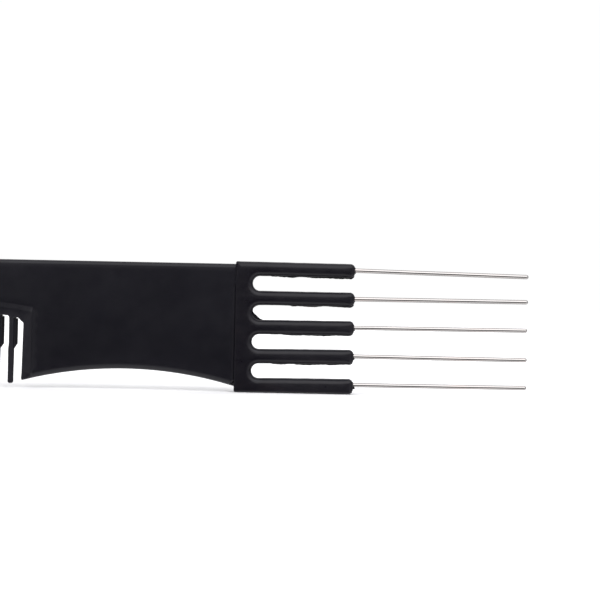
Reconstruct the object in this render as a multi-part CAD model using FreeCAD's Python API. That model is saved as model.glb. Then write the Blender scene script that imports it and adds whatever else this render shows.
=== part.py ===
import FreeCAD, Part
import math
import os

# Five-pin lift comb, standing on its long edge with its teeth down, in millimetres.
# +X runs along the comb towards the pins, +Z from the tooth tips up to the spine, and Y is the
# thickness, with -Y the front. The origin is the middle of the bottom of its bounding box.

# Fork head: the thicker moulding that holds the pins
fork_height = 36.0
fork_length = 32.7
fork_thickness = 4.4
finger_count = 5
finger_width = 3.95
slot_start = 4.7  # from the head's left face to the round end of each slot
fork_tip_corner_radius = 1.0
fork_edge_radius = 0.95
fork_seam_radius = 0.4  # round the left face, where the head steps up from the panel

# Lift pins: stainless wire, moulded into the fingers
pin_diameter = 1.2
pin_exposed = 47.7
pin_embedded = 22.0
pin_crowding = 0.1425  # how much closer together the pins lie than the fingers
pin_tip_radius = 0.55
pin_leans = (1.0, -0.15, -0.2, 0.1, -0.2)  # degrees towards the bottom, from the top pin down
anchor_groove_count = 3
anchor_groove_width = 0.8
anchor_groove_depth = 0.2
anchor_groove_pitch = 3.0
anchor_start = 2.0  # from the pin's inner end to its first groove

# Blade: the moulding with the spine, the handle panel and the two guards
spine_drop = 0.78  # how far the spine's top edge lies below the top of the fork head
panel_length = 55.4
panel_thickness = 3.6
spine_edge_radius = 1.0
arch_radius = 109.0
arch_crown_height = 5.8
arch_crown_to_fork = 30.0
arch_edge_radius = 1.5
end_corner_radius = 5.0
end_foot_radius = 1.6

# Tooth window and the thinner band round it
tooth_count = 15
tooth_pitch = 3.75
first_tooth_offset = 3.25  # from a guard's inner edge to the middle of the tooth beside it
guard_width = 2.65
guard_draft = 1.1  # degrees, so that the window narrows towards the tips
end_rim_width = 2.4
root_crown_height = 21.45
root_arc_radius = 193.5
root_corner_radius = 1.35
recess_depth = 0.4
recess_above_root = 3.4
recess_bevel_height = 1.35
recess_side_bevel = 0.25

# Teeth: wide and deep at the root, stepped back to a thin tip half
tooth_root_width = 1.6
tooth_tip_width = 1.38
tooth_tip_height = 1.3
tooth_step_height = 11.4
tooth_lower_depth = 1.5
tooth_tip_depth = 1.1
tooth_tip_radius = 0.45

# Tang: the end of the blade that the fork head is moulded round
tang_length = 3.4
tang_thickness = 1.8
tang_edge_margin = 4.0
lock_hole_count = 3
lock_hole_diameter = 1.8

overcut = 5.0  # how far cutting shapes run past the material
same_place = 1e-4  # lengths closer together than this count as equal

spine_height = fork_height - spine_drop
window_length = 2 * first_tooth_offset + (tooth_count - 1) * tooth_pitch
overall_length = (
    end_rim_width + 2 * guard_width + window_length + panel_length + fork_length + pin_exposed
)
x_end = -overall_length / 2
x_rim = x_end + end_rim_width
x_window_end = x_rim + guard_width
x_window_start = x_window_end + window_length
x_panel = x_window_start + guard_width
x_fork = x_panel + panel_length
x_finger_tips = x_fork + fork_length
x_window_middle = (x_window_end + x_window_start) / 2
finger_pitch = (fork_height - finger_width) / (finger_count - 1)
slot_width = finger_pitch - finger_width
top_pin_height = fork_height - finger_width / 2
pin_pitch = finger_pitch - pin_crowding
web_thickness = panel_thickness - 2 * recess_depth


def point(x, y, z):
    return FreeCAD.Vector(x, y, z)


def prism_along_y(outline, y_front, depth):
    """A solid of the closed outline's section, from y_front backwards."""
    face = Part.Face(outline)
    face.translate(point(0, y_front, 0))
    return face.extrude(point(0, depth, 0))


def polygon(points):
    return Part.makePolygon(points + [points[0]])


def box(x_low, x_high, y_low, y_high, z_low, z_high):
    size = (x_high - x_low, y_high - y_low, z_high - z_low)
    return Part.makeBox(*size, point(x_low, y_low, z_low))


def edges_where(shape, test):
    """The edges whose every vertex and middle point passes the test."""
    found = []
    for edge in shape.Edges:
        middle = edge.valueAt((edge.FirstParameter + edge.LastParameter) / 2)
        places = [vertex.Point for vertex in edge.Vertexes] + [middle]
        if all(test(place) for place in places):
            found.append(edge)
    return found


def close(a, b):
    return abs(a - b) < same_place


def arched_outline(x_low, x_high, crown_height, radius, z_bottom, lean=0.0):
    """A closed XZ outline with a shallow arc on top, crowned over the window's middle.

    Its two sides lean inwards by `lean` degrees on their way down to z_bottom.
    """
    def arc_height(x):
        across = x - x_window_middle
        return crown_height - radius + math.sqrt(radius ** 2 - across ** 2)

    z_low_end = arc_height(x_low)
    z_high_end = arc_height(x_high)
    lean_low = (z_low_end - z_bottom) * math.tan(math.radians(lean))
    lean_high = (z_high_end - z_bottom) * math.tan(math.radians(lean))
    top_low = point(x_low, 0, z_low_end)
    top_high = point(x_high, 0, z_high_end)
    crown = point(x_window_middle, 0, crown_height)
    bottom_high = point(x_high - lean_high, 0, z_bottom)
    bottom_low = point(x_low + lean_low, 0, z_bottom)
    return Part.Wire([
        Part.Arc(top_low, crown, top_high).toShape(),
        Part.makeLine(top_high, bottom_high),
        Part.makeLine(bottom_high, bottom_low),
        Part.makeLine(bottom_low, top_low),
    ])


def tooth_window():
    """The open space between the guards, under the arched root line."""
    outline = arched_outline(
        x_window_end, x_window_start, root_crown_height, root_arc_radius, -overcut, guard_draft
    )
    depth = panel_thickness + 2 * overcut
    window = prism_along_y(outline, -depth / 2, depth)
    top_corners = edges_where(
        window, lambda place: place.z > tooth_step_height and any(
            close(place.x, x) for x in (x_window_end, x_window_start)
        )
    )
    corner_edges = [edge for edge in top_corners if close(edge.Length, depth)]
    return window.makeFillet(root_corner_radius, corner_edges)


def recess(side):
    """The shallow pocket that thins one face round the window; side is -1 in front, 1 behind."""
    y_face = side * panel_thickness / 2
    y_floor = y_face - side * recess_depth
    slope = recess_depth / recess_side_bevel
    root_to_rim = root_arc_radius + recess_above_root
    rim_crown = root_crown_height + recess_above_root
    rim = arched_outline(x_rim, x_panel, rim_crown, root_to_rim, -overcut)
    floor = arched_outline(
        x_rim + recess_side_bevel,
        x_panel - recess_side_bevel,
        rim_crown - recess_bevel_height,
        root_to_rim - recess_bevel_height,
        -overcut + recess_side_bevel * slope,
    )
    rim.translate(point(0, y_face, 0))
    floor.translate(point(0, y_floor, 0))
    pocket = Part.makeLoft([rim, floor], True, True)
    skim = prism_along_y(
        arched_outline(x_rim, x_panel, rim_crown, root_to_rim, -overcut),
        min(y_face, y_face + side * overcut),
        overcut,
    )
    return pocket.fuse(skim)


def arch_cylinder():
    """The round space under the handle panel."""
    x_crown = x_fork - arch_crown_to_fork
    length = panel_thickness + 2 * overcut
    axis_start = point(x_crown, -length / 2, arch_crown_height - arch_radius)
    return Part.makeCylinder(arch_radius, length, axis_start, point(0, 1, 0))


def blade_body(window):
    """The spine, handle panel and guards, before the recess and the tang."""
    half = panel_thickness / 2
    body = box(x_end, x_fork, -half, half, 0, spine_height)
    end_corner = edges_where(body, lambda place: close(place.x, x_end) and close(place.z, spine_height))
    body = body.makeFillet(end_corner_radius, end_corner)
    foot_corner = edges_where(body, lambda place: close(place.x, x_end) and close(place.z, 0))
    body = body.makeFillet(end_foot_radius, foot_corner)
    panel_arch = arch_cylinder().common(
        box(x_window_middle, x_fork + overcut, -overcut, overcut, -arch_radius, spine_height)
    )
    body = body.cut(panel_arch).cut(window)

    def on_top_line(place):
        return close(abs(place.y), half) and close(place.z, spine_height)

    def on_arch(place):
        x_off = place.x - (x_fork - arch_crown_to_fork)
        z_off = place.z - (arch_crown_height - arch_radius)
        return close(abs(place.y), half) and close(math.hypot(x_off, z_off), arch_radius)

    body = body.makeFillet(spine_edge_radius, edges_where(body, on_top_line))
    return body.makeFillet(arch_edge_radius, edges_where(body, on_arch))


def tang():
    """The blade's thin end, with holes that the fork head's plastic fills."""
    half = tang_thickness / 2
    z_low = tang_edge_margin
    z_high = fork_height - tang_edge_margin
    shape = box(x_fork, x_fork + tang_length, -half, half, z_low, z_high)
    hole_pitch = (z_high - z_low) / lock_hole_count
    for index in range(lock_hole_count):
        z_hole = z_low + (index + 0.5) * hole_pitch
        start = point(x_fork + tang_length / 2, -half - overcut, z_hole)
        length = tang_thickness + 2 * overcut
        shape = shape.cut(Part.makeCylinder(lock_hole_diameter / 2, length, start, point(0, 1, 0)))
    return shape


def make_blade(window):
    body = blade_body(window)
    for side in (-1, 1):
        body = body.cut(recess(side))
    return body.fuse(tang()).removeSplitter()


def make_tooth(index, window):
    """One tooth, cut to the window's root arc; index 0 is beside the handle panel."""
    x_middle = x_window_start - first_tooth_offset - index * tooth_pitch
    front_outline = polygon([
        point(x_middle - tooth_root_width / 2, 0, spine_height),
        point(x_middle + tooth_root_width / 2, 0, spine_height),
        point(x_middle + tooth_tip_width / 2, 0, tooth_tip_height),
        point(x_middle - tooth_tip_width / 2, 0, tooth_tip_height),
    ])
    front = prism_along_y(front_outline, -web_thickness / 2, web_thickness)
    tip_corners = edges_where(front, lambda place: close(place.z, tooth_tip_height))
    tip_sides = [edge for edge in tip_corners if close(edge.Length, web_thickness)]
    front = front.makeFillet(tooth_tip_radius, tip_sides)

    y_front = -web_thickness / 2
    shoulder = web_thickness - tooth_lower_depth
    side_outline = polygon([
        point(0, y_front, spine_height),
        point(0, y_front + web_thickness, spine_height),
        point(0, y_front + web_thickness, tooth_step_height + shoulder / 2),
        point(0, y_front + tooth_lower_depth, tooth_step_height - shoulder / 2),
        point(0, y_front + tooth_tip_depth, tooth_tip_height),
        point(0, y_front, tooth_tip_height),
    ])
    side_face = Part.Face(side_outline)
    side_face.translate(point(x_middle - tooth_root_width, 0, 0))
    profile = side_face.extrude(point(2 * tooth_root_width, 0, 0))
    return front.common(profile).common(window)


def pin_axis(index):
    """Where a pin leaves its finger, and the direction it points; index 0 is the top pin."""
    lean = math.radians(pin_leans[index])
    leaves = point(x_finger_tips, 0, top_pin_height - index * pin_pitch)
    return leaves, point(math.cos(lean), 0, -math.sin(lean))


def make_pin(index):
    leaves, direction = pin_axis(index)
    radius = pin_diameter / 2
    inner_end = leaves - direction * pin_embedded
    pin = Part.makeCylinder(radius, pin_embedded + pin_exposed, inner_end, direction)
    tip_centre = leaves + direction * pin_exposed
    tip_edge = edges_where(pin, lambda place: close((place - tip_centre).dot(direction), 0))
    pin = pin.makeFillet(pin_tip_radius, tip_edge)
    for groove in range(anchor_groove_count):
        start = inner_end + direction * (anchor_start + groove * anchor_groove_pitch)
        outer = Part.makeCylinder(radius + overcut, anchor_groove_width, start, direction)
        core = Part.makeCylinder(radius - anchor_groove_depth, anchor_groove_width, start, direction)
        pin = pin.cut(outer.cut(core))
    return pin


def finger_slot(index):
    """The slot below finger `index`, open at the finger tips; index 0 is the top one."""
    z_middle = fork_height - finger_width - slot_width / 2 - index * finger_pitch
    radius = slot_width / 2
    x_round = x_fork + slot_start + radius
    depth = fork_thickness + 2 * overcut
    x_open = x_finger_tips + overcut
    round_bottom = point(x_round, 0, z_middle - radius)
    round_top = point(x_round, 0, z_middle + radius)
    open_bottom = point(x_open, 0, z_middle - radius)
    open_top = point(x_open, 0, z_middle + radius)
    outline = Part.Wire([
        Part.makeLine(round_bottom, open_bottom),
        Part.makeLine(open_bottom, open_top),
        Part.makeLine(open_top, round_top),
        Part.Arc(round_top, point(x_round - radius, 0, z_middle), round_bottom).toShape(),
    ])
    return prism_along_y(outline, -depth / 2, depth)


def make_fork_head(blade, pins):
    """The head, moulded round the tang and the pins, so their own shapes are its hollows."""
    half = fork_thickness / 2
    head = box(x_fork, x_finger_tips, -half, half, 0, fork_height)
    for index in range(finger_count - 1):
        head = head.cut(finger_slot(index))
    at_tips = edges_where(head, lambda place: close(place.x, x_finger_tips))
    tip_corners = [edge for edge in at_tips if close(edge.Length, fork_thickness)]
    head = head.makeFillet(fork_tip_corner_radius, tip_corners)
    rims = edges_where(head, lambda place: close(abs(place.y), half))
    free_rims = [rim for rim in rims if not close(rim.CenterOfMass.x, x_fork)]
    head = head.makeFillet(fork_edge_radius, free_rims)
    seam = edges_where(head, lambda place: close(place.x, x_fork))
    head = head.makeFillet(fork_seam_radius, seam)
    head = head.cut(blade)
    for pin in pins:
        head = head.cut(pin)
    return head


def save(shape, node):
    solids = shape.Solids
    if len(solids) != 1 or not shape.isValid():
        raise ValueError(f"{node} is not one valid solid: {len(solids)} solids")
    solids[0].exportStep(f"parts/{node}.step")
    print(f"{node}: {solids[0].Volume:.1f} mm3")


os.makedirs("parts", exist_ok=True)
tooth_space = tooth_window()
comb_blade = make_blade(tooth_space)
lift_pins = [make_pin(index) for index in range(finger_count)]

save(comb_blade, "comb_blade")
save(make_fork_head(comb_blade, lift_pins), "fork_head")
for number, lift_pin in enumerate(lift_pins, start=1):
    save(lift_pin, f"lift_pin_{number}")
for index in range(tooth_count):
    save(make_tooth(index, tooth_space), f"tooth_{index + 1:02d}")
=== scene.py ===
import math

import bpy
import numpy as np
from mathutils import Matrix, Vector, noise
from mathutils.geometry import delaunay_2d_cdt


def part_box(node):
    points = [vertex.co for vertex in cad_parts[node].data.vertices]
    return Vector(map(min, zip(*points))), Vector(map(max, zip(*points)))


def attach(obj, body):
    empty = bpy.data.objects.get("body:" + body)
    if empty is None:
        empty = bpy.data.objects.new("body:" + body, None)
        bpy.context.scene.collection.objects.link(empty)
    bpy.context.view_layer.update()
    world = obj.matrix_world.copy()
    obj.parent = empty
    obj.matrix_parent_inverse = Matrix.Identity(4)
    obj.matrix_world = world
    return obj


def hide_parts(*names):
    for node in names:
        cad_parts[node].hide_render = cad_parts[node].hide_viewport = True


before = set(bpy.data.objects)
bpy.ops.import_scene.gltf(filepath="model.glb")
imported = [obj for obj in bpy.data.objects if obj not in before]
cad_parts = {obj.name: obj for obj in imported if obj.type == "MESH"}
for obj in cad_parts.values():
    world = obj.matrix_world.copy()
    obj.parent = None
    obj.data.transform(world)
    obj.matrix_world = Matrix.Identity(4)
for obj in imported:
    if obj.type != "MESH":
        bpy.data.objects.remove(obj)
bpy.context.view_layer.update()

# The looks of a five-pin lift comb: two black mouldings, five steel pins and their plastic collars.
# All sizes and places are in millimetres; mesh_object and make_camera turn them into metres.

MM = 0.001
SAME_PLACE = 0.05  # outline points closer than this are one point
ARC_STEP = math.radians(11)  # the longest facet of a rounded corner
ROUNDING = 6  # facets across a plate's rounded rim
SIDES = 28  # facets round a pin and its collar


def box_mm(node):
    """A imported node's lowest and highest corners."""
    low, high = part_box(node)
    return [value / MM for value in low], [value / MM for value in high]


def middle_x(node):
    return sum(corner[0] for corner in box_mm(node)) / 2


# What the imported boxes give
BLADE_LOW, BLADE_HIGH = box_mm("comb_blade")
FORK_LOW, FORK_HIGH = box_mm("fork_head")
TOOTH_NODES = sorted(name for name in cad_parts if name.startswith("tooth_"))
PIN_NODES = sorted(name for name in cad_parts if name.startswith("lift_pin_"))
X_END = BLADE_LOW[0]
X_FORK = FORK_LOW[0]
X_TIPS = FORK_HIGH[0]
FORK_TOP = FORK_HIGH[2]
SPINE_TOP = BLADE_HIGH[2]
PANEL_HALF = BLADE_HIGH[1]
FORK_HALF = FORK_HIGH[1]

# Tooth window, and the thinner band recessed round it
FIRST_TOOTH_X = middle_x(TOOTH_NODES[0])
LAST_TOOTH_X = middle_x(TOOTH_NODES[-1])
TOOTH_PITCH = (FIRST_TOOTH_X - LAST_TOOTH_X) / (len(TOOTH_NODES) - 1)
TOOTH_OFFSET = 3.25  # from the outermost teeth to the guards
GUARD_WIDTH = 2.65
GUARD_LEAN = math.tan(math.radians(1.1))
GUARD_CROWN = 0.2
GUARD_TIP_Z = 2.3
X_WINDOW_LOW = LAST_TOOTH_X - TOOTH_OFFSET
X_WINDOW_HIGH = FIRST_TOOTH_X + TOOTH_OFFSET
X_RIM = X_WINDOW_LOW - GUARD_WIDTH
X_PANEL = X_WINDOW_HIGH + GUARD_WIDTH
X_WINDOW_MIDDLE = (X_WINDOW_LOW + X_WINDOW_HIGH) / 2
ROOT_CROWN = 21.45
ROOT_RADIUS = 193.5
ROOT_CORNER_RADIUS = 1.35
RECESS_DEPTH = 0.4
RECESS_ABOVE_ROOT = 3.4
RECESS_BEVEL = 1.35
RECESS_SIDE_BEVEL = 0.25
BAND_THICKNESS = 2 * (PANEL_HALF - RECESS_DEPTH)

# Teeth
TOOTH_ROOT_WIDTH = 1.6
TOOTH_TIP_WIDTH = 1.38
TOOTH_TIP_Z = 1.3
TOOTH_TIP_RADIUS = 0.5
TOOTH_ROOT_FILLET = 0.4
TOOTH_STEP_Z = 11.4
TOOTH_LOWER_DEPTH = 1.5
TOOTH_TIP_DEPTH = 1.1
TOOTH_DRAFT = (-0.18, 0.08)  # how much wider the teeth are at the front and at the back
LEFT_RIB, RIGHT_RIB = 0.24, 0.70  # how far the ribs behind a tooth stand out beside it
SHOULDER_TOP = TOOTH_STEP_Z + (BAND_THICKNESS - TOOTH_LOWER_DEPTH) / 2
SHOULDER_BOTTOM = TOOTH_STEP_Z - (BAND_THICKNESS - TOOTH_LOWER_DEPTH) / 2

# Handle panel and far end
ARCH_RADIUS = 109.0
ARCH_CROWN = 5.8
ARCH_X = X_FORK - 30.0
END_CORNER_RADIUS = 5.0
END_FOOT_RADIUS = 1.6
PANEL_OVERLAP = 1.0  # how far the panel reaches into the fork head
ARCH_EDGE = 1.9
SPINE_EDGE = 1.1
END_EDGE = 0.6
GUARD_EDGE = 0.3
TOOTH_EDGE = 0.25
BLADE_SINK = 0.014  # the faces lie this far inside the box, so that their ripple fits in it
BLADE_RIPPLE = 0.012
BLADE_FLASH = 0.012

# Fork head
FINGERS = len(PIN_NODES)
FINGER_WIDTH = 3.95
FINGER_PITCH = (FORK_TOP - FINGER_WIDTH) / (FINGERS - 1)
SLOT_START = 4.7
SLOT_RADIUS = (FINGER_PITCH - FINGER_WIDTH) / 2
SLOT_SHORT = 0.04  # how much smaller the slot ends' rounding is, which keeps a short flat between
SLOT_STRAIGHT = 7.0  # from a slot's end to where the fingers start to draw together
FORK_EDGE = 1.2
SLOT_EDGE = 1.45
FOOT_EDGE = 0.6
SEAM_RADIUS = 0.4
TIP_CORNER = 1.25
FINGER_SHIFTS = (-0.14, 0.01, 0.14, 0.24, 0.20)  # at the tips, which draw together a little
FINGER_SWELLS = (-0.07, -0.05, 0.0, 0.04, 0.06)  # how much further out each finger's edges lie
FORK_WAVER = 0.035  # how much the outline wanders
FORK_SINK = 0.045
FLASH_ROOM = 0.04  # the outline stays this far inside the box, so that the flash fits in it
FOOT_ROOM = 0.06
FINS = (  # where the flash under each finger starts, and its height
    (9.5, 0.34), (15.0, 0.20), (13.0, 0.22), (10.0, 0.24), (11.6, 0.22),
)
WEB_REACH = 0.88  # the thick web of flash in the second slot's corner
WEB_RADIUS = 2.1

# Pins
PIN_RADIUS = 0.6
PIN_PITCH = FINGER_PITCH - 0.1425
PIN_EXPOSED = 47.7
PIN_INSIDE = 6.0  # how much of a pin is modelled inside its finger
PIN_TIP_RADIUS = 0.55
PIN_BEND = 0.02
PIN_UNEVENNESS = 0.012
PIN_LEANS = (1.0, -0.15, -0.2, 0.1, -0.2)  # degrees towards the floor
COLLAR = (  # cross-section of the plastic rim round a pin: (along the pin, radius)
    (-0.3, 0.86), (0.02, 0.82), (0.09, 0.74), (0.10, 0.66), (0.05, 0.58), (-0.3, 0.5),
)
NUBS = (0.2, 0.1, 0.5, 0.6, 1.0)  # how far the spare plastic under each pin stands out

# Studio: the lamp, and the levels and directions of the light tent that gloss reflects
PLASTIC_SPECULAR = 0.26
LAMP_STRENGTH = 1.52
TENT_TINT = (0.985, 0.98, 1.0, 1)
TENT_ABOVE = 0.63
TENT_SIDE = 0.475
TENT_REAR = 0.12
TENT_BELOW = 0.83
BOX_LEVEL = 1.35
REAR_BOX_LEVEL = 0.35
BOX_FRONT, BOX_UP = 0.74, 0.67
BOX_BORDER = (0.70, 0.93)
GAP_LEVEL = 0.06
GAP_FRONT, GAP_DOWN = 0.966, 0.259
GAP_BORDER = (0.85, 0.95)
BACKDROP_LEVEL = 1.01


# ---------------------------------------------------------------- sums that the rest shares

def clamp(value, low=0.0, high=1.0):
    return max(low, min(high, value))


def smooth(value):
    value = clamp(value)
    return value * value * (3 - 2 * value)


def wave(x, z, length, seed):
    """A smooth random wave between about -1 and 1, with the given wavelength."""
    return noise.noise(Vector((x / length, z / length, seed)))


def left_of(direction):
    return Vector((-direction.y, direction.x))


# ---------------------------------------------------------------- outlines

def rounded_loop(corners, step):
    """Points and inward normals round a closed outline, whose corners are (x, z, radius)."""
    places = [Vector(corner[:2]) for corner in corners]
    count = len(places)
    stops = []
    for i, (_, _, radius) in enumerate(corners):
        arrive = (places[i] - places[i - 1]).normalized()
        leave = (places[(i + 1) % count] - places[i]).normalized()
        turn = -arrive.angle_signed(leave)
        if radius == 0 or abs(turn) < 1e-4:
            stops.append([(places[i], left_of((arrive + leave).normalized()))])
            continue
        side = 1 if turn > 0 else -1
        start = places[i] - arrive * radius * math.tan(abs(turn) / 2)
        centre = start + left_of(arrive) * side * radius
        facets = max(2, math.ceil(abs(turn) / ARC_STEP), math.ceil(abs(turn) * radius / step))
        arc = []
        for k in range(facets + 1):
            heading = arrive.copy()
            heading.rotate(Matrix.Rotation(turn * k / facets, 2))
            inward = left_of(heading)
            arc.append((centre - inward * side * radius, inward))
        stops.append(arc)
    samples = []
    for i, arc in enumerate(stops):
        samples.extend(arc)
        run_start = arc[-1][0]
        run = stops[(i + 1) % count][0][0] - run_start
        inward = left_of(run.normalized())
        pieces = max(1, round(run.length / step))
        for k in range(1, pieces):
            samples.append((run_start + run * k / pieces, inward))
    return [
        sample for sample, before in zip(samples, samples[-1:] + samples[:-1])
        if (sample[0] - before[0]).length > SAME_PLACE
    ]


def root_z(x):
    """The height of the window's arched root line."""
    return ROOT_CROWN - ROOT_RADIUS + math.sqrt(ROOT_RADIUS ** 2 - (x - X_WINDOW_MIDDLE) ** 2)


def rim_z(x):
    """The height of the recess's upper border."""
    radius = ROOT_RADIUS + RECESS_ABOVE_ROOT
    return ROOT_CROWN - ROOT_RADIUS + math.sqrt(radius ** 2 - (x - X_WINDOW_MIDDLE) ** 2)


def below_rim(x, z):
    """How far a point lies below the recess's upper border, which ends level at both sides."""
    return rim_z(clamp(x, X_RIM, X_PANEL)) - z


def arch_z(x):
    """The height of the handle panel's lower edge."""
    return ARCH_CROWN - ARCH_RADIUS + math.sqrt(ARCH_RADIUS ** 2 - (x - ARCH_X) ** 2)


def tooth_half_width(z):
    share = (z - TOOTH_TIP_Z) / (SPINE_TOP - TOOTH_TIP_Z)
    return (TOOTH_TIP_WIDTH + (TOOTH_ROOT_WIDTH - TOOTH_TIP_WIDTH) * share) / 2


def tooth_xs():
    """The middles of the teeth, from the one by the handle to the far end."""
    return [FIRST_TOOTH_X - index * TOOTH_PITCH for index in range(len(TOOTH_NODES))]


def tooth_corners(x_tooth):
    """One tooth's corners, down its left side and up its right side."""
    def side(sign):
        z_root = root_z(x_tooth + sign * tooth_half_width(ROOT_CROWN))
        stations = (
            (z_root, TOOTH_ROOT_FILLET), (SHOULDER_TOP, 0), (SHOULDER_BOTTOM, 0),
            (TOOTH_TIP_Z, TOOTH_TIP_RADIUS),
        )
        return [(x_tooth + sign * tooth_half_width(z), z, radius) for z, radius in stations]

    return side(-1) + side(1)[::-1]


def comb_corners():
    """The comb's outline, anticlockwise from the foot of its far end."""
    far_guard_x = X_WINDOW_LOW + root_z(X_WINDOW_LOW) * GUARD_LEAN
    corners = [
        (X_END, 0.0, END_FOOT_RADIUS),
        (X_RIM, 0.0, 0),
        (X_RIM + RECESS_SIDE_BEVEL, 0.0, 0),
        (far_guard_x, 0.0, 0.5),
        (X_WINDOW_LOW, root_z(X_WINDOW_LOW), ROOT_CORNER_RADIUS),
    ]
    for x_tooth in reversed(tooth_xs()):
        corners += tooth_corners(x_tooth)
    z_guard = root_z(X_WINDOW_HIGH)
    guard_tip_x = X_WINDOW_HIGH - (z_guard - GUARD_TIP_Z) * GUARD_LEAN
    corners += [
        (X_WINDOW_HIGH - 1.65, z_guard + 0.1, 0.4),
        (X_WINDOW_HIGH, z_guard - 1.4, 0.6),
        (guard_tip_x, arch_z(guard_tip_x), 0.4),
    ]
    arch_xs = list(np.linspace(X_PANEL - RECESS_SIDE_BEVEL, X_FORK, 60))
    arch_xs.insert(1, X_PANEL)
    corners += [(x, arch_z(x), 0) for x in arch_xs]
    corners += [
        (X_FORK + PANEL_OVERLAP, arch_z(X_FORK), 0),
        (X_FORK + PANEL_OVERLAP, SPINE_TOP, 0),
        (X_END, SPINE_TOP, END_CORNER_RADIUS),
    ]
    return corners


def fork_corners():
    """The fork head's outline, anticlockwise from its lower left corner."""
    x_slot = X_FORK + SLOT_START
    x_straight = x_slot + SLOT_STRAIGHT
    corners = [(X_FORK, 0.10, SEAM_RADIUS + 0.1)]
    for index in range(FINGERS):
        low = index * FINGER_PITCH
        high = low + FINGER_WIDTH
        shift = FINGER_SHIFTS[FINGERS - 1 - index]
        swell = FINGER_SWELLS[FINGERS - 1 - index]
        low_tip, high_tip = low - swell + shift, high + swell + shift
        if index > 0:
            corners.append((x_slot, low, SLOT_RADIUS - SLOT_SHORT))
            corners.append((x_straight, low - swell + shift / 3, 0))
        corners.append((X_TIPS, max(low_tip, FOOT_ROOM), TIP_CORNER))
        corners.append((X_TIPS, min(high_tip, FORK_TOP - FLASH_ROOM), TIP_CORNER))
        if index < FINGERS - 1:
            corners.append((x_straight, high + swell + shift / 3, 0))
            corners.append((x_slot, high, SLOT_RADIUS - SLOT_SHORT))
    corners.append((X_FORK, FORK_TOP - FLASH_ROOM, SEAM_RADIUS + 0.1))
    return corners


# ---------------------------------------------------------------- plates

def nearest(places, target):
    gaps = (places[:, 0] - target[0]) ** 2 + (places[:, 1] - target[1]) ** 2
    return int(gaps.argmin())


def inside_points(ring, lines, step):
    """A grid of points inside the ring that keeps clear of it and of the lines."""
    low, high = ring.min(axis=0), ring.max(axis=0)
    xs = np.arange(low[0] + step / 2, high[0], step)
    zs = np.arange(low[1] + step / 2, high[1], step)
    grid = [(x + (row % 2) * step / 2, z) for row, z in enumerate(zs) for x in xs]
    ends = np.roll(ring, -1, axis=0)
    fixed = np.vstack([ring] + [np.array(line) for line in lines])
    keep = []
    for x, z in grid:
        if ((fixed[:, 0] - x) ** 2 + (fixed[:, 1] - z) ** 2).min() < (0.55 * step) ** 2:
            continue
        crosses = (ring[:, 1] > z) != (ends[:, 1] > z)
        a, b = ring[crosses], ends[crosses]
        at = a[:, 0] + (z - a[:, 1]) / (b[:, 1] - a[:, 1]) * (b[:, 0] - a[:, 0])
        if (at > x).sum() % 2:
            keep.append((x, z))
    return keep


def fill_ring(ring, lines, step):
    """Triangles over the ring, with points on the lines: (places, ring places, triangles)."""
    places = [Vector(place) for place in ring]
    edges = [(i, (i + 1) % len(ring)) for i in range(len(ring))]
    inner_lines = []
    for line in lines:
        first, last = nearest(ring, line[0]), nearest(ring, line[-1])
        middle = [Vector(place) for place in line[1:-1]]
        chain = [first] + list(range(len(places), len(places) + len(middle))) + [last]
        places += middle
        edges += list(zip(chain, chain[1:]))
        if middle:
            inner_lines.append([tuple(place) for place in middle])
    places += [Vector(place) for place in inside_points(ring, inner_lines, step)]
    whole = [list(range(len(ring)))]
    out, _, triangles, origins, _, _ = delaunay_2d_cdt(places, edges, whole, 1, 1e-6)
    where = {source: index for index, sources in enumerate(origins) for source in sources}
    return out, [where[i] for i in range(len(ring))], triangles


def rim_section(radius, y_front, y_back, fin):
    """A rim's cross-section from front to back, with its fin: (depth inside the outline, y)."""
    y_middle = (y_front + y_back) / 2
    deep = min(radius, 0.46 * (y_back - y_front))
    root = min(0.12, 0.3 * ((y_back - y_front) / 2 - deep))
    lean = 0.5 * fin * smooth((0.55 - fin) / 0.2)
    angles = [math.pi / 2 * k / ROUNDING for k in range(ROUNDING + 1)]
    turn = [(radius * (1 - math.sin(a)), deep * (1 - math.cos(a))) for a in angles]
    section = [(depth, y_front + along) for depth, along in turn]
    for share in (0, 0.15, 0.85, 1):
        section.append((-fin * share, y_middle - root - lean * share))
    section += [(-0.95 * fin, y_middle - 0.6 * lean + root / 2), (0, y_middle + root)]
    section += [(depth, y_back - along) for depth, along in reversed(turn)]
    return section


def build_plate(name, loop, edge_radius, front, back, flash, flare, lines, step):
    """A closed plate with rounded rims, whose broad faces follow front(x, z) and back(x, z)."""
    sections = []
    ring = []
    for place, inward in loop:
        radius = edge_radius(*place)
        inner = place + inward * radius
        y_front, y_back = front(*inner), back(*inner)
        at_front, at_back = flare(*place)
        slope = (at_back - at_front) / (y_back - y_front)
        sections.append([
            (place + inward * (depth - at_front - slope * (y - y_front)), y)
            for depth, y in rim_section(radius, y_front, y_back, flash(*place, inward))
        ])
        ring.append((inner.x, inner.y))
    rows = len(sections[0])
    vertices = [(place.x, y, place.y) for section in sections for place, y in section]
    faces = []
    for i in range(len(sections)):
        here, there = i * rows, ((i + 1) % len(sections)) * rows
        for k in range(rows - 1):
            faces.append((here + k, here + k + 1, there + k + 1, there + k))
    flat, on_ring, triangles = fill_ring(np.array(ring), lines, step)
    ring_row = {flat_index: i for i, flat_index in enumerate(on_ring)}
    for surface, row, flip in ((front, 0, False), (back, rows - 1, True)):
        index_of = {}
        for flat_index, place in enumerate(flat):
            if flat_index in ring_row:
                index_of[flat_index] = ring_row[flat_index] * rows + row
            else:
                index_of[flat_index] = len(vertices)
                vertices.append((place.x, surface(place.x, place.y), place.y))
        for triangle in triangles:
            corners = [index_of[corner] for corner in triangle]
            faces.append(tuple(reversed(corners)) if flip else tuple(corners))
    return mesh_object(name, vertices, faces)


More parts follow.
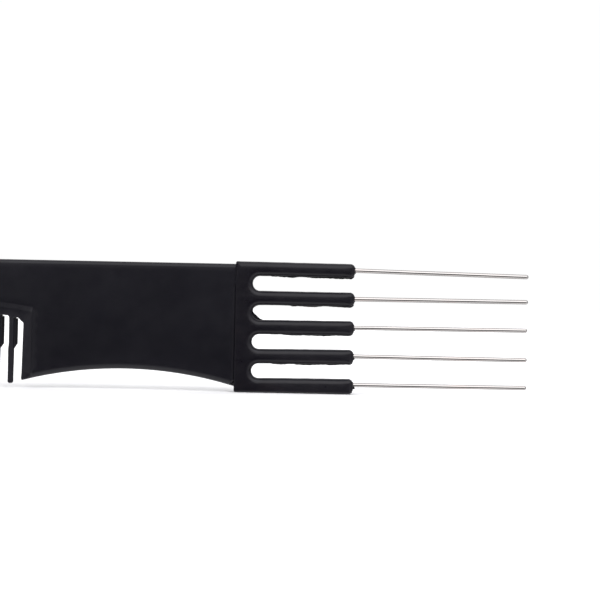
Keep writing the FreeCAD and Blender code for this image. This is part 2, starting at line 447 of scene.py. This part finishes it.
def mesh_object(name, vertices, faces):
    """A smooth-shaded object from points in millimetres."""
    mesh = bpy.data.meshes.new(name)
    mesh.from_pydata([tuple(value * MM for value in vertex) for vertex in vertices], [], faces)
    mesh.validate()
    mesh.shade_smooth()
    piece = bpy.data.objects.new(name, mesh)
    bpy.context.scene.collection.objects.link(piece)
    return piece


def mark_wear_and_highlight(piece, share):
    """Store at each vertex how much grey its material adds, for the material to read: lighter patches,
    and painted highlights on edges that catch the light.
    """
    wear_and_highlight = piece.data.attributes.new("wear_and_highlight", "FLOAT", "POINT")
    wear_and_highlight.data.foreach_set("value", [share(*(vertex.co / MM)) for vertex in piece.data.vertices])


# ---------------------------------------------------------------- the comb's own moulding

def recess_share(x, z):
    """0 on the full-thickness panel, 1 on the thinner band round the window."""
    from_sides = min(x - X_RIM, X_PANEL - x) / RECESS_SIDE_BEVEL
    return clamp(min(from_sides, below_rim(x, z) / RECESS_BEVEL))


def comb_front(x, z):
    guard = clamp((X_PANEL - x) / GUARD_WIDTH) * smooth((x - X_WINDOW_HIGH + 1.5) / 1.5)
    crown = GUARD_CROWN * guard ** 2 * smooth(below_rim(x, z) / 3)
    ripple = BLADE_RIPPLE * wave(x, z, 9.0, 3.1)
    return -PANEL_HALF + RECESS_DEPTH * recess_share(x, z) + crown + BLADE_SINK + ripple


def comb_back(x, z):
    """The back face: like the front, but the teeth step down to a thin lower half."""
    ripple = BLADE_RIPPLE * wave(x, z, 9.0, 7.7)
    full = PANEL_HALF - RECESS_DEPTH * recess_share(x, z) - BLADE_SINK - ripple
    if not X_WINDOW_LOW + 1 < x < X_WINDOW_HIGH - 1 or z > SHOULDER_TOP:
        return full
    front = -BAND_THICKNESS / 2
    if z > SHOULDER_BOTTOM:
        step = (SHOULDER_TOP - z) / (SHOULDER_TOP - SHOULDER_BOTTOM)
        return full + (front + TOOTH_LOWER_DEPTH - full) * step
    to_tip = (SHOULDER_BOTTOM - z) / (SHOULDER_BOTTOM - TOOTH_TIP_Z)
    return front + TOOTH_LOWER_DEPTH + (TOOTH_TIP_DEPTH - TOOTH_LOWER_DEPTH) * to_tip


def comb_edge_radius(x, z):
    """The rims' rounding: fine round the teeth, fuller on the guard, and full along the arch."""
    if X_WINDOW_LOW - 0.3 < x < X_WINDOW_HIGH + 0.4 and z < ROOT_CROWN + 0.5:
        on_guard = smooth((x - X_WINDOW_HIGH + 1.4) / 1.0) * clamp((z - 3.0) / 1.0)
        return TOOTH_EDGE + GUARD_EDGE * on_guard
    if z > SPINE_TOP - 6:
        return SPINE_EDGE
    if x > X_PANEL - 2:
        along_arch = smooth((x - X_WINDOW_HIGH - 0.3) / 4)
        return GUARD_EDGE + (ARCH_EDGE - GUARD_EDGE) * along_arch
    return END_EDGE


def comb_flare(x, z):
    """How far the outline stands out at the front and at the back: the teeth widen backwards."""
    if not X_WINDOW_LOW + 1 < x < X_WINDOW_HIGH - 1:
        return 0, 0
    upper = clamp((z - SHOULDER_BOTTOM) / (SHOULDER_TOP - SHOULDER_BOTTOM))
    below_root = smooth((root_z(x) - 0.05 - z) / 0.5)
    teeth_on = (FIRST_TOOTH_X - x) / TOOTH_PITCH
    rib = LEFT_RIB if teeth_on > round(teeth_on) else RIGHT_RIB
    at_front, at_back = TOOTH_DRAFT
    return at_front * upper * below_root, (at_back + rib * upper) * below_root


def comb_flash(x, z, _inward):
    """The fine parting line: only just there on the comb's own moulding, and worn off its foot."""
    if z < 1 or x < X_END + 6 or z > SPINE_TOP - 1:
        return 0
    return BLADE_FLASH + BLADE_FLASH * clamp(wave(x, z, 1.3, 4.0))


def comb_lines():
    """Lines that the faces have to follow: the recess's borders and the teeth's shoulders."""
    lines = []
    folds = (
        (-0.05, -0.12), (0.05, 0.12),
        (RECESS_SIDE_BEVEL - 0.05, RECESS_BEVEL - 0.12), (RECESS_SIDE_BEVEL + 0.05, RECESS_BEVEL + 0.12),
    )
    for inset, drop in folds:
        x_low, x_high = X_RIM + inset, X_PANEL - inset
        top = [(x, rim_z(x) - drop) for x in np.linspace(x_low, x_high, 70)]
        left = [(x_low, z) for z in np.linspace(1.4, top[0][1], 16)[:-1]]
        right = [(x_high, z) for z in np.linspace(top[-1][1], arch_z(x_high) + 1.8, 14)[1:]]
        lines.append([(x_low, 0.0)] + left + top + right + [(x_high, arch_z(x_high))])
    for x_tooth in tooth_xs():
        for z in (SHOULDER_TOP, SHOULDER_BOTTOM):
            lines.append([(x_tooth - 0.5, z), (x_tooth + 0.5, z)])
    return lines


def comb_wear_and_highlight(x, y, z):
    """How much grey is added to the plastic: most on the teeth, some on the recessed band and the far
    part of the panel, and painted highlight on the recess's upward-facing bevel and along the arch's
    lower rounding, which the floor lights.
    """
    if X_WINDOW_LOW < x < X_WINDOW_HIGH - 0.4 and z < root_z(x) + 0.3:
        return 1.0 if y < 0.5 - BAND_THICKNESS / 2 else 0.2
    worn_and_highlighted = 0.22 * smooth((X_PANEL + 10 - x) / 18)
    if below_rim(x, z) > 0 and X_RIM < x < X_PANEL:
        inner_edge = smooth((x - X_WINDOW_HIGH + 1) / 1) * clamp((X_PANEL - x) / GUARD_WIDTH)
        # The bevel faces up into the light: its 0.75 is a painted highlight.
        on_bevel = z > rim_z(x) - RECESS_BEVEL
        worn_and_highlighted = 0.75 if on_bevel else 0.42 + 0.35 * inner_edge ** 2
    # A painted highlight along the arch's lower rounding, where light from the floor falls on it.
    if x > X_PANEL - 1:
        worn_and_highlighted = max(worn_and_highlighted, 0.5 * smooth(1 - (z - arch_z(x)) / 5.0))
    return worn_and_highlighted


def make_comb_moulding():
    loop = rounded_loop(comb_corners(), 0.4)
    piece = build_plate(
        "comb_moulding", loop, comb_edge_radius, comb_front, comb_back, comb_flash, comb_flare,
        comb_lines(), 1.6
    )
    mark_wear_and_highlight(piece, comb_wear_and_highlight)
    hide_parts("comb_blade", *TOOTH_NODES)
    return piece


# ---------------------------------------------------------------- the fork head

def waver(loop, amount, length, seed):
    """The loop with its edge shifted a little in and out, as a worn mould leaves it."""
    moved = []
    for place, inward in loop:
        shift = amount * (wave(place.x, place.y, length, seed) - 0.6)
        moved.append((place - inward * shift, inward))
    return moved


def fork_sag(x, z, broad_seed, fine_seed):
    """The broad and fine unevenness of the fork head's faces."""
    return 0.03 * wave(x, z * 0.6, 7.0, broad_seed) + 0.012 * wave(x, z, 2.2, fine_seed)


def fork_front(x, z):
    return -FORK_HALF + FORK_SINK + fork_sag(x, z, 1.7, 5.2)


def fork_back(x, z):
    return FORK_HALF - FORK_SINK - fork_sag(x, z, 9.4, 6.6)


def fork_edge_radius(x, z):
    """The rims' rounding: sharp at the seam and the foot, fullest between the fingers."""
    before_tips = smooth((X_TIPS - TIP_CORNER - x) / 2.0)
    full = FOOT_EDGE if z < 0.4 else FORK_EDGE + (SLOT_EDGE - FORK_EDGE) * before_tips
    return SEAM_RADIUS + (full - SEAM_RADIUS) * smooth((x - X_FORK) / 1.6)


def fork_flash(x, z, inward):
    """Height of the ragged fin along the fork head's parting line."""
    along = x - X_FORK
    if along < 1.5 or x > X_TIPS - 0.2:
        return 0.0
    ragged = 0.6 + 0.6 * wave(x, z, 3.0, 2.5) + 0.3 * wave(x, z, 0.8, 8.1)
    under = clamp(inward.y)
    index = clamp(round((FORK_TOP - z) / FINGER_PITCH - 0.45), 0, FINGERS - 1)
    start, height = FINS[int(index)]
    grown = smooth((along - start) / 0.8)
    burr = (0.06 + 1.2 * height * grown) * under * clamp(ragged, 0.25, 1.2)
    fin = 0.02 + burr + 0.03 * clamp(ragged - 0.7)
    if z < FINGER_WIDTH / 2:
        return min(fin, z)
    if z > FORK_TOP - FINGER_WIDTH / 2:
        return min(fin, FORK_TOP - z)
    return fin


def slot_flash(x, z, inward):
    """The fork head's fins, with the thick web left in one slot's lower corner."""
    slot_z = FORK_TOP - FINGER_WIDTH - FINGER_PITCH - SLOT_RADIUS
    corner = Vector((X_FORK + SLOT_START + 0.93, slot_z - 1.2))
    away = (Vector((x, z)) - corner).length
    return fork_flash(x, z, inward) + WEB_REACH * smooth(1.15 - away / WEB_RADIUS)


def no_flare(_x, _z):
    return 0, 0


def fork_wear_and_highlight(x, y, z):
    """The fingers are a little greyer than the head's body, more so lower down, and the slot ends' lips
    carry a painted highlight, strongest on their lower sides.
    """
    lower = 1 - z / FORK_TOP
    worn_and_highlighted = (0.15 + 0.35 * lower) * smooth((x - X_FORK - 6) / 8)
    x_centre = X_FORK + SLOT_START + SLOT_RADIUS
    for index in range(1, FINGERS):
        across = Vector((x - x_centre, z - index * FINGER_PITCH + SLOT_RADIUS))
        if across.x < 1.5 and y < 0.3 - FORK_HALF + SLOT_EDGE:
            # A painted highlight on the rounded lip round each slot end, stronger on its lower side.
            lip = smooth(1 - abs(across.length - SLOT_RADIUS - 0.6) / 0.9)
            lip *= clamp(1 - across.x / 1.5)
            worn_and_highlighted += lip * (0.75 if across.y < 0 else 0.35)
    return worn_and_highlighted


def make_fork_moulding():
    loop = waver(rounded_loop(fork_corners(), 0.22), FORK_WAVER, 2.6, 0.9)
    piece = build_plate(
        "fork_moulding", loop, fork_edge_radius, fork_front, fork_back, slot_flash, no_flare, (), 0.9
    )
    mark_wear_and_highlight(piece, fork_wear_and_highlight)
    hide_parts("fork_head")
    return piece


# ---------------------------------------------------------------- the pins

def pin_line(index):
    """Where a pin leaves its finger, and the way it points."""
    lean = math.radians(PIN_LEANS[index])
    leaves = Vector((X_TIPS, 0, FORK_TOP - FINGER_WIDTH / 2 - index * PIN_PITCH))
    return leaves, Vector((math.cos(lean), 0, -math.sin(lean)))


def directions_round():
    """Evenly spaced directions square to +X, each with its angle."""
    angles = [2 * math.pi * k / SIDES for k in range(SIDES)]
    return [(angle, Vector((0, math.cos(angle), math.sin(angle)))) for angle in angles]


def ring_faces(rings, closed):
    """Quads between rings of points, and from the last ring back to the first where closed."""
    faces = []
    for i in range(rings if closed else rings - 1):
        near, far = i * SIDES, (i + 1) % rings * SIDES
        for k in range(SIDES):
            after = (k + 1) % SIDES
            faces.append((near + k, near + after, far + after, far + k))
    return faces


def make_pin(index):
    """A wire that is a little uneven and bent, with a rounded tip."""
    leaves, direction = pin_line(index)
    rings = []
    for along in np.linspace(-PIN_INSIDE, PIN_EXPOSED - PIN_TIP_RADIUS, 120):
        bend = PIN_BEND * noise.noise(Vector((along / 14.0, index * 5.3, 0.4))) * clamp(along / 8)
        uneven = 0.5 + 0.5 * noise.noise(Vector((along / 5.0, index * 3.1, 2.2)))
        radius = PIN_RADIUS * (1 - PIN_UNEVENNESS * uneven)
        rings.append((leaves + direction * along + Vector((0, bend, bend)), radius))
    last_centre, last_radius = rings[-1]
    for k in range(1, 9):
        angle = math.pi / 2 * k / 8
        radius = last_radius - PIN_TIP_RADIUS * (1 - math.cos(angle))
        rings.append((last_centre + direction * PIN_TIP_RADIUS * math.sin(angle), radius))
    vertices = [
        centre + around * radius for centre, radius in rings for _, around in directions_round()
    ]
    faces = ring_faces(len(rings), closed=False)
    faces.append(tuple(reversed(range(SIDES))))
    faces.append(tuple(range(len(vertices) - SIDES, len(vertices))))
    piece = mesh_object(f"pin_{index + 1}", vertices, faces)
    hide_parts(PIN_NODES[index])
    return piece


def make_collar(index):
    """The ragged little rim of plastic where a pin leaves its finger."""
    leaves, direction = pin_line(index)
    vertices = []
    for along, radius in COLLAR:
        for angle, around in directions_round():
            ragged = noise.noise(around * 1.6 + Vector((index * 4.7, 0, 0)))
            nub = NUBS[index] * clamp(-math.sin(angle) - 0.2)
            reach = along * (1 + 1.2 * ragged + 6.0 * nub) if along > 0 else along
            spread = radius * (1 + 0.10 * ragged + 0.5 * nub) if radius > PIN_RADIUS else radius
            vertices.append(leaves + direction * reach + around * spread)
    piece = mesh_object(f"pin_collar_{index + 1}", vertices, ring_faces(len(COLLAR), closed=True))
    return piece


# ---------------------------------------------------------------- materials

class Shader:
    """A Principled material and short ways to add nodes to it."""

    def __init__(self, name):
        self.material = bpy.data.materials.new(name)
        self.material.use_nodes = True
        self.nodes = self.material.node_tree.nodes
        self.links = self.material.node_tree.links
        self.principled = self.nodes["Principled BSDF"]
        self.place = self.add("ShaderNodeTexCoord").outputs["Object"]

    def add(self, kind, **settings):
        node = self.nodes.new(kind)
        for key, value in settings.items():
            setattr(node, key, value)
        return node

    def link(self, output, node, socket):
        self.links.new(output, node.inputs[socket])

    def set(self, socket, value):
        self.principled.inputs[socket].default_value = value

    def noise(self, size_mm, detail=2.0, roughness=0.5, stretch=(1, 1, 1)):
        """Noise whose features are about size_mm across, times the stretch on each axis."""
        mapping = self.add("ShaderNodeMapping")
        mapping.inputs["Scale"].default_value = [1 / (size_mm * MM * factor) for factor in stretch]
        texture = self.add("ShaderNodeTexNoise")
        texture.inputs["Scale"].default_value = 1.0
        texture.inputs["Detail"].default_value = detail
        texture.inputs["Roughness"].default_value = roughness
        self.link(self.place, mapping, "Vector")
        self.link(mapping.outputs["Vector"], texture, "Vector")
        return texture.outputs["Fac"]

    def spread(self, value, low, high, start=0.3, end=0.7):
        """The value's range from start to end, stretched to run from low to high."""
        node = self.add("ShaderNodeMapRange")
        node.inputs["From Min"].default_value = start
        node.inputs["From Max"].default_value = end
        node.inputs["To Min"].default_value = low
        node.inputs["To Max"].default_value = high
        self.link(value, node, "Value")
        return node.outputs["Result"]

    def colours(self, value, stops):
        """A colour ramp through the stops, which are (position, colour)."""
        ramp = self.add("ShaderNodeValToRGB")
        elements = ramp.color_ramp.elements
        while len(elements) < len(stops):
            elements.new(0.5)
        for element, (position, colour) in zip(elements, stops):
            element.position = position
            element.color = (*colour, 1)
        self.link(value, ramp, "Fac")
        return ramp.outputs["Color"]

    def worn_and_highlighted(self, colour):
        """The colour with fine grey scuffs and painted highlights added where the piece's vertex
        attribute says.
        """
        mix = self.add("ShaderNodeMix", data_type="RGBA", blend_type="ADD")
        use = self.add("ShaderNodeAttribute", attribute_name="wear_and_highlight")
        # This grey serves both as scuffs and as painted highlight on edges that face the light.
        scuffs_and_highlight = self.colours(self.noise(1.6, 3.0, 0.6, (1, 1, 3)), [
            (0.30, (0.0066, 0.0064, 0.0072)),
            (0.50, (0.0086, 0.0083, 0.0092)),
            (0.72, (0.0108, 0.0104, 0.0116)),
        ])
        colour_inputs = [socket for socket in mix.inputs if socket.type == "RGBA"]
        self.links.new(use.outputs["Fac"], mix.inputs[0])
        self.links.new(colour, colour_inputs[0])
        self.links.new(scuffs_and_highlight, colour_inputs[1])
        return next(socket for socket in mix.outputs if socket.type == "RGBA")

    def bump(self, height, distance_mm, strength=1.0, under=None):
        node = self.add("ShaderNodeBump")
        node.inputs["Strength"].default_value = strength
        node.inputs["Distance"].default_value = distance_mm * MM
        self.link(height, node, "Height")
        if under is not None:
            self.link(under, node, "Normal")
        return node.outputs["Normal"]

    def finish(self, colour, roughness, normal):
        """Wire the three into the Principled shader and give back the material."""
        self.link(colour, self.principled, "Base Color")
        self.link(roughness, self.principled, "Roughness")
        self.link(normal, self.principled, "Normal")
        return self.material


def blade_plastic():
    """Matt black moulded plastic: fine grain, faint cloudy flow marks, slightly uneven gloss."""
    shader = Shader("blade_plastic")
    colour = shader.colours(shader.noise(30.0, 4.0, 0.45, (1.2, 1, 1.2)), [
        (0.34, (0.0022, 0.0020, 0.0042)),
        (0.50, (0.0031, 0.0028, 0.0054)),
        (0.64, (0.0050, 0.0047, 0.0076)),
    ])
    gloss = shader.spread(shader.noise(3.5, 4.0, 0.6), 0.28, 0.35)
    waves = shader.bump(shader.noise(6.0, 1.0), 0.05, 0.35)
    grain = shader.bump(shader.noise(0.11, 3.0, 0.65), 0.012, 0.5, waves)
    shader.set("Specular IOR Level", PLASTIC_SPECULAR)
    return shader.finish(shader.worn_and_highlighted(colour), gloss, grain)


def fork_plastic():
    """The fork head's black plastic: a little glossier, with moulding ripples on the fingers."""
    shader = Shader("fork_plastic")
    colour = shader.colours(shader.noise(4.0, 3.0, 0.6, (2.5, 1, 1)), [
        (0.30, (0.0024, 0.0020, 0.0044)),
        (0.55, (0.0034, 0.0027, 0.0052)),
        (0.75, (0.0060, 0.0038, 0.0060)),
    ])
    gloss = shader.spread(shader.noise(1.6, 4.0, 0.6, (2.0, 1, 1)), 0.27, 0.36)
    ripples = shader.bump(shader.noise(1.7, 2.0, 0.5, (3.0, 1, 1)), 0.05, 0.5)
    grain = shader.bump(shader.noise(0.13, 3.0, 0.65), 0.014, 0.5, ripples)
    shader.set("Specular IOR Level", PLASTIC_SPECULAR)
    return shader.finish(shader.worn_and_highlighted(colour), gloss, grain)


def pin_steel():
    """Drawn stainless wire: fine lines along the pin and slow ripples from straightening."""
    shader = Shader("pin_steel")
    tint = shader.colours(shader.noise(7.0, 2.0, 0.5, (1.4, 1, 1)), [
        (0.32, (0.45, 0.436, 0.425)),
        (0.50, (0.48, 0.46, 0.445)),
        (0.70, (0.51, 0.467, 0.447)),
    ])
    drawn = shader.spread(shader.noise(0.12, 3.0, 0.6, (60, 1, 1)), 0.08, 0.16)
    ripples = shader.bump(shader.noise(1.1, 1.0, 0.4, (9, 1, 1)), 0.05, 0.4)
    lines = shader.bump(shader.noise(0.10, 3.0, 0.6, (80, 1, 1)), 0.006, 0.5, ripples)
    shader.set("Metallic", 1.0)
    shader.set("Specular Tint", (0.45, 0.43, 0.43, 1))
    return shader.finish(tint, drawn, lines)


def dress(piece, material):
    piece.data.materials.clear()
    piece.data.materials.append(material)
    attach(piece, "root")


# ---------------------------------------------------------------- stage, light and camera

def make_floor():
    """A plain pale floor under the object, four metres each way."""
    half = 4.0
    corners = [(-half, -half, 0), (half, -half, 0), (half, half, 0), (-half, half, 0)]
    mesh = bpy.data.meshes.new("floor")
    mesh.from_pydata(corners, [], [(0, 1, 2, 3)])
    floor = bpy.data.objects.new("floor", mesh)
    bpy.context.scene.collection.objects.link(floor)
    shader = Shader("floor_paper")
    shader.set("Base Color", (0.82, 0.82, 0.825, 1))
    shader.set("Roughness", 0.9)
    shader.set("Specular IOR Level", 0.1)
    mesh.materials.append(shader.material)
    floor.visible_glossy = False


def make_lamp():
    """The soft light overhead for the floor and the broad faces; gloss sees only the world."""
    light = bpy.data.lights.new("overhead", "SUN")
    light.energy = LAMP_STRENGTH
    light.angle = math.radians(140)
    lamp = bpy.data.objects.new("overhead", light)
    lamp.visible_glossy = False
    bpy.context.scene.collection.objects.link(lamp)


def make_world():
    """A light tent: pale all round, a bright box high in front, a faint one high behind, and a
    dark gap low in front and behind. The camera itself sees plain white."""
    world = bpy.data.worlds.new("studio")
    bpy.context.scene.world = world
    world.use_nodes = True
    world.cycles.sampling_method = "NONE"
    nodes, links = world.node_tree.nodes, world.node_tree.links

    def math_node(operation, *values):
        node = nodes.new("ShaderNodeMath")
        node.operation = operation
        for socket, value in zip(node.inputs, values):
            if isinstance(value, float):
                socket.default_value = value
            else:
                links.new(value, socket)
        return node.outputs[0]

    def fade(value, start, end, low, high):
        node = nodes.new("ShaderNodeMapRange")
        node.interpolation_type = "SMOOTHSTEP"
        numbers = {"From Min": start, "From Max": end, "To Min": low, "To Max": high}
        for socket, number in numbers.items():
            node.inputs[socket].default_value = number
        links.new(value, node.inputs["Value"])
        return node.outputs["Result"]

    def box(front, level):
        towards = math_node("MULTIPLY_ADD", height, BOX_UP, math_node("MULTIPLY", forward, front))
        return fade(towards, *BOX_BORDER, 0.0, level)

    split = nodes.new("ShaderNodeSeparateXYZ")
    links.new(nodes.new("ShaderNodeTexCoord").outputs["Generated"], split.inputs["Vector"])
    forward, height = split.outputs["Y"], split.outputs["Z"]
    boxes = math_node("ADD", box(-BOX_FRONT, BOX_LEVEL), box(BOX_FRONT, REAR_BOX_LEVEL))
    sideways = math_node("MULTIPLY", math_node("ABSOLUTE", forward), GAP_FRONT)
    to_gap = math_node("MULTIPLY_ADD", height, -GAP_DOWN, sideways)
    gap = fade(to_gap, *GAP_BORDER, 1.0, GAP_LEVEL)
    below = fade(height, -0.45, -0.10, TENT_BELOW, 0.0)
    above = fade(height, 0.10, 0.50, 0.0, TENT_ABOVE)
    side = fade(forward, -0.35, 0.45, TENT_SIDE, TENT_REAR)
    tent = math_node("ADD", math_node("ADD", below, above), side)
    surroundings = nodes["Background"]
    surroundings.inputs["Color"].default_value = TENT_TINT
    level = math_node("MULTIPLY", math_node("ADD", tent, boxes), gap)
    links.new(level, surroundings.inputs["Strength"])
    backdrop = nodes.new("ShaderNodeBackground")
    backdrop.inputs["Color"].default_value = (1, 1, 1, 1)
    backdrop.inputs["Strength"].default_value = BACKDROP_LEVEL
    mix = nodes.new("ShaderNodeMixShader")
    links.new(nodes.new("ShaderNodeLightPath").outputs["Is Camera Ray"], mix.inputs["Fac"])
    links.new(surroundings.outputs["Background"], mix.inputs[1])
    links.new(backdrop.outputs["Background"], mix.inputs[2])
    links.new(mix.outputs["Shader"], nodes["World Output"].inputs["Surface"])


def make_camera():
    """Level with the comb and square to it, a little to the right of the seam, and rolled."""
    distance = 400.0
    frame_width = 165.0
    roll = math.radians(1.17)
    aim = Vector((X_FORK + 17.73, 0, 25.64))
    right = Vector((math.cos(roll), 0, math.sin(roll)))
    up = Vector((-math.sin(roll), 0, math.cos(roll)))
    back = right.cross(up)
    place = (aim + back * distance) * MM
    data = bpy.data.cameras.new("camera")
    data.sensor_width = 36.0
    data.lens = data.sensor_width * distance / frame_width
    data.clip_start = 0.01
    data.clip_end = 50
    camera = bpy.data.objects.new("camera", data)
    camera.matrix_world = Matrix((
        (right.x, up.x, back.x, place.x),
        (right.y, up.y, back.y, place.y),
        (right.z, up.z, back.z, place.z),
        (0, 0, 0, 1),
    ))
    bpy.context.scene.collection.objects.link(camera)
    bpy.context.scene.camera = camera


blade_black = blade_plastic()
fork_black = fork_plastic()
steel = pin_steel()
dress(make_comb_moulding(), blade_black)
dress(make_fork_moulding(), fork_black)
for number in range(FINGERS):
    dress(make_pin(number), steel)
    dress(make_collar(number), fork_black)
make_floor()
make_lamp()
make_world()
make_camera()
bpy.context.scene.view_settings.view_transform = "Standard"
